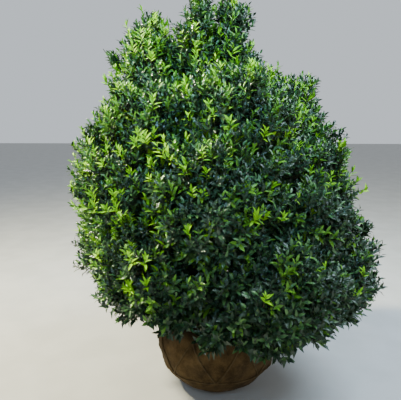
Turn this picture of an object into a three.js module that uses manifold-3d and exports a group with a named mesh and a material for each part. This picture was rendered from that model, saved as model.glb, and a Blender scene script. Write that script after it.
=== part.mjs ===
// A large field-grown holly on its root ball: a ball of soil wrapped in burlap and laced with twine,
// a trunk with one bough for each mass of foliage, and a crown of leafy masses with four leaders.
// Millimetres, +Z up. The origin is the middle of the flat underside of the root ball, and the
// front of the plant faces -Y.

import * as THREE from "three";
import { mergeVertices } from "three/addons/utils/BufferGeometryUtils.js";
import Module from "manifold-3d";

const wasm = await Module();
wasm.setup();

const UP = new THREE.Vector3(0, 0, 1);
const FRONT = new THREE.Vector3(0, -1, 0);
const GOLDEN_ANGLE = Math.PI * (3 - Math.sqrt(5));
const STEEP = 0.85;
const TOUCH_GAP = 0.3;

// Root ball: radius and height of each bend of its outline, from the flat underside to the top
const BALL_OUTLINE = [
  [230, 0],
  [285, 50],
  [335, 140],
  [368, 260],
  [365, 350],
  [325, 412],
  [210, 440],
];
const BALL_TOP = 440;
const BALL_SIDES = 28;

// Gathered burlap round the foot of the trunk: radius and height above the ball
const COLLAR_OUTLINE = [
  [128, 0],
  [112, 28],
  [90, 52],
  [104, 78],
];
const COLLAR_SIDES = 12;

// Twine: a low girdle, and a zigzag lacing that runs from it to the ball's shoulder
const TWINE_RADIUS = 5;
const TWINE_SIDES = 3;
const TWINE_SLACK = 2.4;
const GIRDLE_HEIGHT = 150;
const LACING_HEIGHTS = [GIRDLE_HEIGHT, 260, 350, 396];
const LACING_LEGS = 16;

// Trunk: from its flat cut on the ball to the middle leader
const TRUNK_FOOT_RADIUS = 42;
const TRUNK_TIP_RADIUS = 14;
const TRUNK_FLARE = 30;
const FLARE_HEIGHT = 55;
const TRUNK_SWAY = 22;
const TRUNK_LEAN_POWER = 1.4;
const TRUNK_STEPS = 12;
const TRUNK_END_SHARE = 0.4;
const TRUNK_SIDES = 8;

// Boughs: each leaves the trunk below its mass and ends where it enters the mass
const BOUGH_DROP = 0.75;
const BOUGH_ROOT_SHARE = 0.62;
const BOUGH_TIP_RADIUS = 12;
const BOUGH_TIP_SHARE = 0.8;
const BOUGH_SAG = 0.12;
const BOUGH_STEPS = 3;
const BOUGH_SIDES = 5;
const BOUGH_LOWEST = 150;
const BOUGH_STAGGER = 55;
const LEADER_FORK_HEIGHT = 1080;
const ENTRY_SHARE = 0.85;
const ENTRY_MARGIN = 30;
const ENTRY_SAMPLES = 120;

// Masses of foliage: rings of ellipsoids round the trunk, and the four leaders above them
const SKIRT = { name: "skirt", count: 6, turn: -8, ring: 470, height: 870, shift: 45, dip: 100 };
const MIDDLE = { name: "middle", count: 6, turn: 30, ring: 447, height: 1262, shift: -15, dip: 58 };
const UPPER = { name: "upper", count: 5, turn: 5, ring: 352, height: 1590, shift: -62, dip: -24 };
const TIERS = [
  { ...SKIRT, radius: 445, rise: 370, twigs: 13, leadReach: 1.12 },
  { ...MIDDLE, radius: 400, rise: 388, twigs: 18, leadReach: 1.06 },
  { ...UPPER, radius: 346, rise: 333, twigs: 18, leadReach: 1.08 },
];
const DIP_TOWARDS = -12;
const LEADERS = [
  { name: "left", x: -355, y: -100, height: 1860, radius: 190, depth: 260, rise: 350, leadReach: 0.92 },
  { name: "middle", x: -128, y: -150, height: 1950, radius: 140, depth: 230, rise: 385, leadReach: 1.05 },
  { name: "right", x: 54, y: -90, height: 1910, radius: 158, depth: 240, rise: 380, leadReach: 0.97 },
  { name: "back", x: -90, y: 200, height: 1765, radius: 195, depth: 250, rise: 345, leadReach: 0.95 },
];
const LEADER_BLUNTNESS = 3;
const CELL_GAP = 1;
const CELL_SHARE_LEAST = 0.15;

// Twigs and leaves of a mass: the leaves are larger than life, so that few of them fill the crown
const LEAF_LENGTH = 60;
const LEAF_LENGTH_BY_RADIUS = 0.29;
const TIP_LEAF = 0.56;
const TIP_LEAF_SPREAD = 0.35;
const LEAF_WIDTH = 0.5;
const LEAF_WIDEST = 0.45;
const LEAF_THICKNESS = 0.045;
const LEAF_FOLD = 0.1;
const LEAF_SINK = 9;
const LEAF_SPREAD = 1.0;
const LEAF_TRIES = 3;
const SIDE_LEAF_LEAST = 0.86;
const SIDE_LEAF_RANGE = 0.2;
const SIDE_LEAVES = 3;
const SIDE_LEAF_SPACING = 8;
const LEADER_TWIGS = 9;
const TWIG_RADIUS = 9;
const TWIG_TIP_RADIUS = 6.5;
const TWIG_SIDES = 3;
const TWIG_LIFT = 0.2;
const STEM_MIDDLE = 0.6;
const STEM_RANGE = 0.3;
const CORE_LEAVES = 0.48;
const CORE_DETAIL = 1;
const REACH_LEAST = 0.97;
const REACH_RANGE = 0.09;
const INNER_SIDE = 0.35;
const LIMB_CLEARANCE = 1.5;

const SURFACES = {
  leaf: { color: 0x35502a, roughness: 0.5 },
  bark: { color: 0x6d6558, roughness: 0.9 },
  burlap: { color: 0x8a6f48, roughness: 0.95 },
  twine: { color: 0xa88f62, roughness: 0.95 },
};

function seededRandom(seed) {
  let state = seed;
  return () => {
    state = (state + 0x6d2b79f5) | 0;
    let mixed = Math.imul(state ^ (state >>> 15), 1 | state);
    mixed = (mixed + Math.imul(mixed ^ (mixed >>> 7), 61 | mixed)) ^ mixed;
    return ((mixed ^ (mixed >>> 14)) >>> 0) / 4294967296;
  };
}

function solidFrom(geometry) {
  const bare = geometry.clone();
  bare.deleteAttribute("normal");
  bare.deleteAttribute("uv");
  const welded = mergeVertices(bare);
  const mesh = new wasm.Mesh({
    numProp: 3,
    vertProperties: new Float32Array(welded.attributes.position.array),
    triVerts: new Uint32Array(welded.index.array),
  });
  return new wasm.Manifold(mesh);
}

function geometryFrom(solid) {
  const mesh = solid.getMesh();
  const geometry = new THREE.BufferGeometry();
  geometry.setAttribute("position", new THREE.BufferAttribute(mesh.vertProperties, 3));
  geometry.setIndex(new THREE.BufferAttribute(mesh.triVerts, 1));
  geometry.computeVertexNormals();
  return geometry;
}

// The one piece that counts after a cut: scraps and sealed hollows are dropped
function largestPiece(solid) {
  const pieces = solid.decompose();
  return pieces.reduce((best, piece) => (piece.volume() > best.volume() ? piece : best));
}

function meshNode(name, solid, surface) {
  const material = new THREE.MeshStandardMaterial({ ...SURFACES[surface], metalness: 0 });
  const mesh = new THREE.Mesh(geometryFrom(solid), material);
  mesh.name = name;
  return mesh;
}

function shapeFrom(vertices, triangles) {
  const geometry = new THREE.BufferGeometry();
  geometry.setAttribute("position", new THREE.Float32BufferAttribute(vertices, 3));
  geometry.setIndex(triangles);
  return geometry;
}

function fanCap(triangles, first, sides, facesBack) {
  for (let k = 1; k < sides - 1; k++) {
    const corners = facesBack ? [first, first + k + 1, first + k] : [first, first + k, first + k + 1];
    triangles.push(...corners);
  }
}

// A closed limb of flat-sided rings along a stretch of a curve
function limbShape(curve, radiusAt, steps, sides, from = 0, to = 1) {
  const chord = curve.getPoint(to).sub(curve.getPoint(from)).normalize();
  const reference = Math.abs(chord.z) > STEEP ? new THREE.Vector3(1, 0, 0) : UP;
  const vertices = [];
  const triangles = [];
  for (let i = 0; i <= steps; i++) {
    const t = from + ((to - from) * i) / steps;
    const centre = curve.getPoint(t);
    const along = curve.getTangent(t);
    const across = new THREE.Vector3().crossVectors(along, reference).normalize();
    const other = new THREE.Vector3().crossVectors(along, across);
    for (let k = 0; k < sides; k++) {
      const angle = (2 * Math.PI * k) / sides;
      const point = centre.clone();
      point.addScaledVector(across, radiusAt(t) * Math.cos(angle));
      point.addScaledVector(other, radiusAt(t) * Math.sin(angle));
      vertices.push(point.x, point.y, point.z);
    }
  }
  for (let i = 0; i < steps; i++) {
    for (let k = 0; k < sides; k++) {
      const a = i * sides + k;
      const b = i * sides + ((k + 1) % sides);
      triangles.push(a, b, b + sides, a, b + sides, a + sides);
    }
  }
  fanCap(triangles, 0, sides, true);
  fanCap(triangles, steps * sides, sides, false);
  return shapeFrom(vertices, triangles);
}

// A body of revolution about Z, from an outline of radius and height that ends on the axis
function turnedSolid(outline, sides, base) {
  const points = outline.map(([radius, height]) => new THREE.Vector2(radius, height + base));
  points.unshift(new THREE.Vector2(0, points[0].y));
  points.push(new THREE.Vector2(0, points[points.length - 1].y));
  const shape = new THREE.LatheGeometry(points, sides);
  shape.rotateX(Math.PI / 2);
  return solidFrom(shape);
}

function ballRadius(height) {
  const upper = BALL_OUTLINE.findIndex((bend) => bend[1] >= height);
  const [radiusAbove, heightAbove] = BALL_OUTLINE[upper];
  const [radiusBelow, heightBelow] = BALL_OUTLINE[upper - 1];
  const share = (height - heightBelow) / (heightAbove - heightBelow);
  return radiusBelow + share * (radiusAbove - radiusBelow);
}

// The twine's flat inner side lies on the widest part of the ball that it covers
function twineReach(height, halfHeight) {
  const widest = Math.max(ballRadius(height - halfHeight), ballRadius(height + halfHeight));
  return widest + TWINE_RADIUS / 2 + TOUCH_GAP;
}

function girdleSolid() {
  const height = GIRDLE_HEIGHT;
  const middle = twineReach(height, TWINE_RADIUS);
  const section = [];
  for (let k = 0; k <= TWINE_SIDES; k++) {
    const angle = (2 * Math.PI * (k % TWINE_SIDES)) / TWINE_SIDES;
    const radius = middle + TWINE_RADIUS * Math.cos(angle);
    section.push(new THREE.Vector2(radius, height + TWINE_RADIUS * Math.sin(angle)));
  }
  const shape = new THREE.LatheGeometry(section, BALL_SIDES);
  shape.rotateX(Math.PI / 2);
  return solidFrom(shape);
}

// The lacing runs up and down between the girdles, straight from bend to bend of the ball's outline
function lacingPath() {
  const path = [];
  const low = LACING_HEIGHTS[0];
  const rise = LACING_HEIGHTS[LACING_HEIGHTS.length - 1] - low;
  for (let leg = 0; leg < LACING_LEGS; leg++) {
    const heights = leg % 2 === 0 ? LACING_HEIGHTS : [...LACING_HEIGHTS].reverse();
    for (const height of heights.slice(0, -1)) {
      const climbed = leg % 2 === 0 ? (height - low) / rise : 1 - (height - low) / rise;
      path.push({ angle: (2 * Math.PI * (leg + climbed)) / LACING_LEGS, height });
    }
  }
  return path;
}

function lacingSolid() {
  const path = lacingPath();
  const vertices = [];
  const triangles = [];
  path.forEach(({ angle, height }, i) => {
    const middle = twineReach(height, TWINE_RADIUS) + TWINE_SLACK;
    for (let k = 0; k < TWINE_SIDES; k++) {
      const round = (2 * Math.PI * k) / TWINE_SIDES;
      const reach = middle + TWINE_RADIUS * Math.cos(round);
      const across = (TWINE_RADIUS * Math.sin(round)) / middle;
      const aside = angle + across;
      const drop = TWINE_RADIUS * Math.sin(round);
      vertices.push(Math.cos(aside) * reach, Math.sin(aside) * reach, height - drop);
      const next = (k + 1) % TWINE_SIDES;
      const ahead = ((i + 1) % path.length) * TWINE_SIDES;
      const here = i * TWINE_SIDES;
      triangles.push(here + k, ahead + next, ahead + k, here + k, here + next, ahead + next);
    }
  });
  return solidFrom(shapeFrom(vertices, triangles));
}

// Masses of foliage: name, centre and the three radii of the ellipsoid that its leaf tips reach
function tierMasses(tier) {
  const masses = [];
  for (let i = 0; i < tier.count; i++) {
    const angle = THREE.MathUtils.degToRad(tier.turn + (360 * i) / tier.count);
    const lowered = tier.dip * Math.cos(angle - THREE.MathUtils.degToRad(DIP_TOWARDS));
    const x = tier.shift + tier.ring * Math.cos(angle);
    const y = tier.ring * Math.sin(angle);
    const centre = new THREE.Vector3(x, y, tier.height - lowered);
    const radii = new THREE.Vector3(tier.radius, tier.radius, tier.rise);
    const outward = new THREE.Vector3(Math.cos(angle), Math.sin(angle), 0);
    const lead = new THREE.Vector3(outward.x, outward.y, 1).normalize();
    const fork = Math.max(tier.height - BOUGH_DROP * tier.rise, BALL_TOP + BOUGH_LOWEST);
    const forkHeight = fork + BOUGH_STAGGER * ((i % 3) - 1);
    const name = `${tier.name}_${i + 1}`;
    const { twigs: twigCount, leadReach } = tier;
    masses.push({ name, centre, radii, outward, lead, forkHeight, twigCount, leadReach });
  }
  return masses;
}

function leaderMass(leader) {
  const centre = new THREE.Vector3(leader.x, leader.y, leader.height);
  const radii = new THREE.Vector3(leader.radius, leader.depth, leader.rise);
  return {
    name: `leader_${leader.name}`,
    centre,
    radii,
    outward: null,
    lead: UP.clone(),
    forkHeight: LEADER_FORK_HEIGHT,
    twigCount: LEADER_TWIGS,
    leadReach: leader.leadReach,
  };
}

// The space of a mass: one plane towards each other mass, through the ring where the two ellipsoids meet
function cellPlanes(mass, masses) {
  const planes = [];
  for (const other of masses) {
    if (other === mass) continue;
    const normal = other.centre.clone().sub(mass.centre);
    const distance = normal.length();
    normal.normalize();
    const own = 1 / normal.clone().divide(mass.radii).length();
    const their = 1 / normal.clone().divide(other.radii).length();
    const wanted = (distance * distance + own * own - their * their) / (2 * distance);
    const least = CELL_SHARE_LEAST * distance;
    const reach = THREE.MathUtils.clamp(wanted, least, distance - least) - CELL_GAP / 2;
    planes.push({ normal, offset: normal.dot(mass.centre) + reach });
  }
  return planes;
}

function insideCell(point, mass, margin) {
  return mass.planes.every((plane) => plane.normal.dot(point) < plane.offset - margin);
}

// How far out a point lies in a mass: 1 on the ellipsoid
function reachShare(point, mass) {
  return point.clone().sub(mass.centre).divide(mass.radii).length();
}

function trunkCurve(top) {
  const points = [];
  for (let i = 0; i <= TRUNK_STEPS; i++) {
    const t = i / TRUNK_STEPS;
    const aboveFoot = Math.max(0, (i - 1) / (TRUNK_STEPS - 1));
    const lean = aboveFoot ** TRUNK_LEAN_POWER;
    const sway = TRUNK_SWAY * Math.sin(2 * Math.PI * aboveFoot) * (1 - t);
    const height = BALL_TOP + TOUCH_GAP + t * (top.z - BALL_TOP - TOUCH_GAP);
    points.push(new THREE.Vector3(top.x * lean + sway, top.y * lean - sway * t, height));
  }
  return new THREE.CatmullRomCurve3(points);
}

function trunkRadius(t, height) {
  const taper = TRUNK_FOOT_RADIUS + (TRUNK_TIP_RADIUS - TRUNK_FOOT_RADIUS) * t;
  return taper + TRUNK_FLARE * Math.exp(-(t * height) / FLARE_HEIGHT);
}

// The trunk ends just short of the leader's stem. The seat is the room that boughs leave round it,
// and the wide shape is the room that foliage leaves.
function makeTrunk(leader) {
  const top = leader.centre.clone();
  top.z -= leader.radii.z * TRUNK_END_SHARE;
  const curve = trunkCurve(top);
  const height = top.z - BALL_TOP;
  const radiusAt = (t) => trunkRadius(t, height);
  const gapShare = TOUCH_GAP / curve.getLength();
  const swollen = (extra, end) => {
    const radius = (t) => radiusAt(t) + extra;
    return solidFrom(limbShape(curve, radius, TRUNK_STEPS, TRUNK_SIDES, 0, end));
  };
  return {
    curve,
    radiusAt,
    height,
    solid: swollen(0, 1 - gapShare),
    seat: swollen(TOUCH_GAP, 1),
    wide: swollen(LIMB_CLEARANCE, 1),
  };
}

// The stretch of a limb's curve before it enters its mass for good
function entryOf(curve, mass) {
  let entry = 1;
  for (let i = ENTRY_SAMPLES; i > 0; i--) {
    const t = i / ENTRY_SAMPLES;
    const point = curve.getPoint(t);
    if (!insideCell(point, mass, ENTRY_MARGIN) || reachShare(point, mass) > ENTRY_SHARE) break;
    entry = t;
  }
  return entry;
}

// A bough arcs from the trunk up and out into its mass; its last stretch is the mass's own stem
function makeBough(mass, trunk) {
  const isLeader = mass.outward === null;
  const forkShare = (mass.forkHeight - BALL_TOP) / trunk.height;
  const root = trunk.curve.getPoint(forkShare);
  const bend = root.clone().lerp(mass.centre, 0.5);
  if (isLeader) bend.set(mass.centre.x, mass.centre.y, (root.z + mass.centre.z) / 2 - mass.radii.z / 2);
  else bend.z -= mass.radii.z * BOUGH_SAG;
  const curve = new THREE.QuadraticBezierCurve3(root, bend, mass.centre.clone());
  const entry = entryOf(curve, mass);
  const rootRadius = trunk.radiusAt(forkShare) * BOUGH_ROOT_SHARE;
  const tipRadius = Math.min(BOUGH_TIP_RADIUS, rootRadius * BOUGH_TIP_SHARE);
  const radiusAt = (t) => rootRadius + (tipRadius - rootRadius) * Math.min(t / entry, 1);
  const stemStart = entry + TOUCH_GAP / curve.getLength();
  const swollen = (extra, end) => {
    const radius = (t) => radiusAt(t) + extra;
    return solidFrom(limbShape(curve, radius, BOUGH_STEPS, BOUGH_SIDES, 0, end));
  };
  const solid = largestPiece(swollen(0, entry).subtract(trunk.seat));
  return { curve, stemStart, radiusAt, solid, wide: swollen(LIMB_CLEARANCE, stemStart) };
}

// A folded blade that points one way and turns its upper face another
function leafSolid(root, direction, length, facing) {
  const side = new THREE.Vector3().crossVectors(facing, direction).normalize();
  const normal = new THREE.Vector3().crossVectors(direction, side);
  const halfWidth = (LEAF_WIDTH * length) / 2;
  const halfThick = (LEAF_THICKNESS * length) / 2;
  const fold = LEAF_FOLD * halfWidth;
  const corner = (forward, sideways, above) => {
    const point = root.clone().addScaledVector(direction, forward);
    return point.addScaledVector(side, sideways).addScaledVector(normal, above);
  };
  const widest = LEAF_WIDEST * length;
  const points = [
    corner(0, 0, 0),
    corner(widest, -halfWidth, fold),
    corner(length, 0, -fold),
    corner(widest, halfWidth, fold),
    corner(widest, 0, halfThick),
    corner(widest, 0, -halfThick),
  ];
  const triangles = [0, 1, 4, 1, 2, 4, 2, 3, 4, 3, 0, 4, 1, 0, 5, 2, 1, 5, 3, 2, 5, 0, 3, 5];
  const vertices = points.flatMap((point) => point.toArray());
  const middle = root.clone().addScaledVector(direction, length / 2);
  return { points, middle, length, solid: solidFrom(shapeFrom(vertices, triangles)) };
}

function leavesMeet(leaf, other) {
  const near = leaf.middle.distanceTo(other.middle) < (leaf.length + other.length) / 2;
  return near && !leaf.solid.intersect(other.solid).isEmpty();
}

function leafFits(leaf, mass, obstacles, leaves) {
  const inside = leaf.points.every((point) => insideCell(point, mass, CELL_GAP));
  if (!inside || leaves.some((other) => leavesMeet(leaf, other))) return false;
  return leaf.solid.intersect(obstacles).isEmpty();
}

// How much further than an ellipsoid the blunt top of a leader runs in a direction
function bluntShare(direction, mass) {
  if (mass.outward !== null || direction.z <= 0) return 1;
  const level = Math.hypot(direction.x, direction.y);
  const power = LEADER_BLUNTNESS;
  return (level ** power + direction.z ** power) ** (-1 / power);
}

function twigDirections(mass, random) {
  const directions = [mass.lead];
  const turn = random() * 2 * Math.PI;
  for (let i = 0; i < mass.twigCount; i++) {
    const z = 1 - (2 * i + 1) / mass.twigCount;
    const level = Math.sqrt(1 - z * z);
    const angle = turn + i * GOLDEN_ANGLE;
    directions.push(new THREE.Vector3(level * Math.cos(angle), level * Math.sin(angle), z));
  }
  return directions.filter((direction) => {
    const facesIn = mass.outward !== null && direction.dot(mass.outward) < -INNER_SIDE;
    const tip = mass.centre.clone().add(direction.clone().multiply(mass.radii));
    return !facesIn && insideCell(tip, mass, CELL_GAP);
  });
}

// One twig from the stem to just short of the outline, with a leaf at its tip and leaves round it.
// The twig joins the mass's twigs, and each leaf that fits joins its leaves.
function growTwig(mass, bough, direction, isLead, leafLength, obstacles, random) {
  const share = REACH_LEAST + REACH_RANGE * random();
  const reach = isLead ? mass.leadReach : share * bluntShare(direction, mass);
  const spoke = direction.clone().multiply(mass.radii);
  const outermost = mass.centre.clone().addScaledVector(spoke, reach);
  const heading = spoke.clone().normalize().addScaledVector(UP, TWIG_LIFT).normalize();
  const tip = outermost.clone().addScaledVector(heading, -TIP_LEAF * leafLength);
  const stemDirection = bough.curve.getTangent(1);
  const along = STEM_MIDDLE + STEM_RANGE * direction.dot(stemDirection);
  const start = bough.curve.getPoint(bough.stemStart + (1 - bough.stemStart) * along);
  const curve = new THREE.LineCurve3(start, tip);
  const radiusAt = (t) => TWIG_RADIUS + (TWIG_TIP_RADIUS - TWIG_RADIUS) * t;
  const twig = solidFrom(limbShape(curve, radiusAt, 1, TWIG_SIDES));
  const ends = [curve.getPoint(1), curve.getPoint(1).lerp(start, 0.5)];
  const inside = ends.every((point) => insideCell(point, mass, TWIG_RADIUS + CELL_GAP));
  if (!inside || !twig.intersect(obstacles).isEmpty()) return;
  mass.twigs.push(twig);
  const tryLeaf = (root, aim, length) => {
    const leaf = leafSolid(root, aim, length, heading);
    const fits = leafFits(leaf, mass, obstacles, mass.leaves);
    if (fits) mass.leaves.push(leaf);
    return fits;
  };
  const across = new THREE.Vector3().crossVectors(heading, heading.z > STEEP ? FRONT : UP).normalize();
  let angle = random() * 2 * Math.PI;
  const aimed = (spread) => {
    const round = across.clone().applyAxisAngle(heading, angle);
    const aim = heading.clone().multiplyScalar(Math.cos(spread));
    return aim.addScaledVector(round, Math.sin(spread));
  };
  const tipAim = aimed(TIP_LEAF_SPREAD);
  tryLeaf(tip.clone().addScaledVector(tipAim, -LEAF_SINK), tipAim, TIP_LEAF * leafLength + LEAF_SINK);
  for (let i = 0; i < SIDE_LEAVES; i++) {
    const root = curve.getPoint(1 - (SIDE_LEAF_SPACING * (i + 1)) / curve.getLength());
    for (let attempt = 0; attempt < LEAF_TRIES; attempt++) {
      angle += GOLDEN_ANGLE;
      if (tryLeaf(root, aimed(LEAF_SPREAD), leafLength * (SIDE_LEAF_LEAST + SIDE_LEAF_RANGE * random()))) break;
    }
  }
}

// The dense middle of a mass: its own outline, smaller, cut to its space and clear of every limb
function coreSolid(mass, leafLength, obstacles) {
  const shape = new THREE.IcosahedronGeometry(1, CORE_DETAIL);
  const places = shape.attributes.position;
  for (let i = 0; i < places.count; i++) {
    const direction = new THREE.Vector3().fromBufferAttribute(places, i);
    direction.multiplyScalar(bluntShare(direction, mass));
    places.setXYZ(i, ...direction.toArray());
  }
  const radii = mass.radii.toArray().map((radius) => radius - CORE_LEAVES * leafLength);
  shape.scale(...radii);
  shape.translate(...mass.centre.toArray());
  let core = solidFrom(shape);
  for (const plane of mass.planes) {
    const towards = plane.normal.clone().negate().toArray();
    core = core.trimByPlane(towards, -plane.offset);
  }
  return core.subtract(obstacles);
}

function massSolid(mass, bough, obstacles, seed) {
  const random = seededRandom(seed);
  const leafLength = LEAF_LENGTH + LEAF_LENGTH_BY_RADIUS * mass.radii.x;
  const stem = solidFrom(
    limbShape(bough.curve, bough.radiusAt, 1, BOUGH_SIDES, bough.stemStart, 1),
  );
  mass.twigs = [];
  mass.leaves = [];
  for (const direction of twigDirections(mass, random)) {
    growTwig(mass, bough, direction, direction === mass.lead, leafLength, obstacles, random);
  }
  const core = coreSolid(mass, leafLength, obstacles);
  const pieces = [stem, ...mass.twigs, ...mass.leaves.map((leaf) => leaf.solid)];
  return largestPiece(pieces.reduce((whole, piece) => whole.add(piece), core));
}

// The middle leader grows straight on from the tip of the trunk
function trunkTopStem(mass, trunk) {
  const heading = trunk.curve.getTangent(1);
  const start = trunk.curve.getPoint(1);
  const bend = start.clone().addScaledVector(heading, start.distanceTo(mass.centre) / 2);
  const curve = new THREE.QuadraticBezierCurve3(start, bend, mass.centre.clone());
  return { curve, stemStart: 0, radiusAt: () => BOUGH_TIP_RADIUS };
}

const masses = [...TIERS.flatMap(tierMasses), ...LEADERS.map(leaderMass)];
masses.forEach((mass) => {
  mass.planes = cellPlanes(mass, masses);
});

const ball = turnedSolid(BALL_OUTLINE, BALL_SIDES, 0);
const twine = girdleSolid().add(lacingSolid());
const topMass = masses.find((mass) => mass.name === "leader_middle");
const trunk = makeTrunk(topMass);
const collarBlank = turnedSolid(COLLAR_OUTLINE, COLLAR_SIDES, BALL_TOP + 2 * TOUCH_GAP);
const collar = largestPiece(collarBlank.subtract(trunk.seat));

const plant = new THREE.Group();
plant.add(meshNode("root_ball", ball, "burlap"));
plant.add(meshNode("ball_twine", twine, "twine"));
plant.add(meshNode("burlap_collar", collar, "burlap"));
plant.add(meshNode("trunk", trunk.solid, "bark"));

const boughs = new Map();
for (const mass of masses) {
  boughs.set(mass, mass === topMass ? trunkTopStem(mass, trunk) : makeBough(mass, trunk));
}
const sideBoughs = [...boughs.values()].filter((bough) => bough.solid);
let obstacles = trunk.wide.add(ball).add(twine).add(collarBlank);
for (const bough of sideBoughs) obstacles = obstacles.add(bough.wide);

masses.forEach((mass, i) => {
  const bough = boughs.get(mass);
  if (bough.solid) plant.add(meshNode(`bough_${mass.name}`, bough.solid, "bark"));
  plant.add(meshNode(`foliage_${mass.name}`, massSolid(mass, bough, obstacles, i + 1), "leaf"));
});

export default plant;
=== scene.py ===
# The looks of a large holly on its root ball: leaves, twigs, bark, burlap and twine.
# Metres, +Z up. The origin is the middle of the flat underside of the ball, and the front faces -Y.

import math

import bmesh
import bpy
import numpy as np
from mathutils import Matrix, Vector


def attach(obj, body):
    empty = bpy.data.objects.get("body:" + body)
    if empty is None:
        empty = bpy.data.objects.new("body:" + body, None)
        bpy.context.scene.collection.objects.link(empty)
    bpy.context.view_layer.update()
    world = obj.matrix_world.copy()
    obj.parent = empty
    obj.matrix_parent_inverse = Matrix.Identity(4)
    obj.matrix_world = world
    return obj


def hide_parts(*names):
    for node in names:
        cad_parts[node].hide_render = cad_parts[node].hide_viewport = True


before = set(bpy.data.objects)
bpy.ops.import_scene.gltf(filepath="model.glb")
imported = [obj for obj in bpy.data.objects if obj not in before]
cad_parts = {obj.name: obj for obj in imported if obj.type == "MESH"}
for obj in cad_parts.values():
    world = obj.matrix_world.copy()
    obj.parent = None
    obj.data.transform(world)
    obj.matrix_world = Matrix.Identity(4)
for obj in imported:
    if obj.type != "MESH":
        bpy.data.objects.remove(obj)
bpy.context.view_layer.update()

UP = np.array([0.0, 0.0, 1.0])
FRONT = np.array([0.0, -1.0, 0.0])
GOLDEN_ANGLE = math.pi * (3 - math.sqrt(5))
STEEP = 0.85
LEAST_LENGTH = 1e-9
LEAST_SLOPE = 1e-6
BODY = "root"
MOST_TRIANGLES = 190000

# Camera: at standing height, with the photograph's frame
IMAGE_WIDTH = 401
FOCAL_PIXELS = 430
SENSOR_WIDTH = 36
CAMERA_PLACE = (0, -2.53, 1.6)
CAMERA_DOWN = 10.3
CAMERA_LEFT = 2.33

# Root ball: radius and height of each bend of its outline, and the twine round it
BALL_OUTLINE = np.array(
    [[0.18, 0], [0.255, 0.045], [0.335, 0.14], [0.368, 0.26], [0.365, 0.35], [0.325, 0.412], [0.21, 0.44]]
)
BALL_TOP = 0.44
BALL_SIDES = 160
OUTLINE_CURVE_STEPS = 12
# Heights of the ball's rings, as stretches: from, to, and how many. They are closest near its top.
BALL_RINGS = ((0, 0.06, 11), (0.065, 0.38, 48), (0.385, BALL_TOP, 16))
CAP_SHARES = (0.9, 0.02)
CAP_RINGS = 8
TOP_DOME = 0.006
GIRDLE_HEIGHT = 0.15
GIRDLE_SAG = 0.004
GIRDLE_SAGS = 3
GIRDLE_SEAT = 0.7
LACING_TOP = 0.396
LACING_LEGS = 16
LACING_SEAT = 0.9
LACING_STEPS = 48
TWINE_RADIUS = 0.0045
TWINE_SIDES = 8
TWINE_STEP = 0.006
STRAND_TWIST = 0.9
STRAND_RELIEF = 0.16

# Relief of the burlap. A wave's numbers are its turns round the ball, its rise with height and,
# where it has one of its own, its phase.
TWINE_PRESS = 0.002
LACING_PRESS_WIDTH = 0.05
GIRDLE_PRESS_WIDTH = 0.012
LUMP_DEPTH = 0.006
LUMP_WAVES = ((5, 9, 1.3), (2, 17, 0))
SMALL_LUMP_SHARE = 0.6
SMALL_LUMP_WAVES = ((11, -13, 0.4), (3, 23, 0))
FOLD_DEPTH = 0.0025
FOLD_WAVE = (13, -14)
FOLD_SWAY = 2
FOLD_SWAY_WAVE = (2, 11, 0)
CREASE_DEPTH = 0.008
CREASE_WAVE = (19, 6)
CREASE_SWAY = 3
CREASE_SWAY_WAVE = (3, 0, 0)
CREASE_FOOT = 0.2
CREASE_RISE = 0.22
CREASE_LEAST = 0.12
SMOOTH_FOOT = 0.05

# Gathered burlap: radius and height above the ball, up its outside to the rim and down its inside
COLLAR_OUTSIDE = [[0.128, 0.0], [0.118, 0.014], [0.108, 0.03], [0.094, 0.046], [0.09, 0.054], [0.097, 0.068]]
COLLAR_INSIDE = [[0.104, 0.078], [0.098, 0.077], [0.088, 0.066], [0.078, 0.052], [0.074, 0.03]]
COLLAR_SIDES = 144
COLLAR_GAP = 0.002
COLLAR_INSET = 0.006
PLEATS = 17
PLEAT_SWAY = 1.5
PLEAT_SWAYS = 4
PLEAT_DEPTH = 0.0072
PLEAT_LEAST = 0.2
PLEAT_FULL_HEIGHT = 0.05

# Trunk and boughs
TRUNK_FOOT_RADIUS = 0.042
TRUNK_TIP_RADIUS = 0.014
TRUNK_FLARE = 0.03
FLARE_HEIGHT = 0.055
TRUNK_SWAY = 0.022
TRUNK_LEAN_POWER = 1.4
TRUNK_STEPS = 12
TRUNK_END_SHARE = 0.4
BOUGH_DROP = 0.75
BOUGH_ROOT_SHARE = 0.62
BOUGH_TIP_RADIUS = 0.012
BOUGH_TIP_SHARE = 0.8
BOUGH_SAG = 0.12
BOUGH_LOWEST = 0.15
BOUGH_STAGGER = 0.055
LEADER_FORK_HEIGHT = 1.08
ENTRY_SHARE = 0.85
STEM_END_RADIUS = 0.006
BELOW_TIP = 0.98
BOUGH_SAMPLES = 121
LEAST_ENTRY = 0.05
TRUNK_RINGS = 150
TRUNK_SIDES = 28
BOUGH_RINGS = 40
BOUGH_SIDES = 12
BARK_WAVES = (3, 5, 7, 9)
BARK_DRIFT = 0.12
BARK_GRIT = 0.35
BARK_DEPTH = 0.05

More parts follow.
